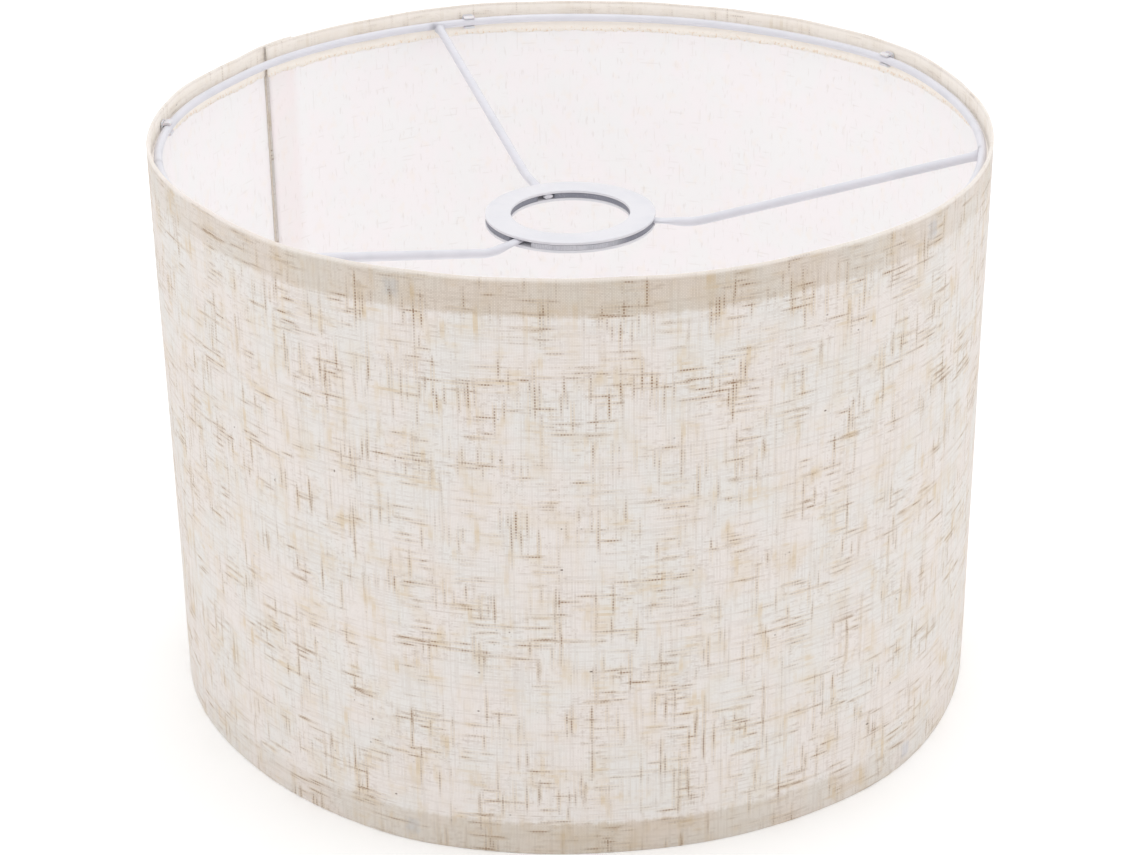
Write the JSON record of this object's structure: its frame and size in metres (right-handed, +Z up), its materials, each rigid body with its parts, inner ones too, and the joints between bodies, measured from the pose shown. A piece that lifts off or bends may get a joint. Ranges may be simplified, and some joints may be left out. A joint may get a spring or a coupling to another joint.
{
  "type": "lamp shade",
  "caption": "Straight-sided drum lamp shade: linen over a white liner, on a clipped-in wire frame with a recessed ring fitter.",
  "frame": {"origin": "centre of the bottom rim, on the surface that the shade stands on", "axes": "+Z up along the drum's axis; the panel's overlap seam is at 142 degrees anticlockwise from +X"},
  "size_m": [0.29, 0.29, 0.205],
  "materials": {
    "linen": "plain-weave natural linen with slubs",
    "liner": "smooth satin sheet",
    "tape": "tan adhesive tape",
    "painted_steel": "satin white powder coat",
    "clip_plastic": "moulded, satin"
  },
  "bodies": {
    "root": {"fabric_cover": "linen", "liner_panel": "liner", "seam_tape": "tape", "top_ring": "painted_steel", "bottom_ring": "painted_steel", "fitter_top_plate": "painted_steel", "fitter_bottom_plate": "painted_steel", "spider_arm_1": "painted_steel", "spider_arm_2": "painted_steel", "spider_arm_3": "painted_steel", "top_clip_1": "clip_plastic", "bottom_clip_1": "clip_plastic", "top_clip_2": "clip_plastic", "bottom_clip_2": "clip_plastic", "top_clip_3": "clip_plastic", "bottom_clip_3": "clip_plastic", "top_clip_4": "clip_plastic", "bottom_clip_4": "clip_plastic", "top_clip_5": "clip_plastic", "bottom_clip_5": "clip_plastic"}
  },
  "joints": []
}
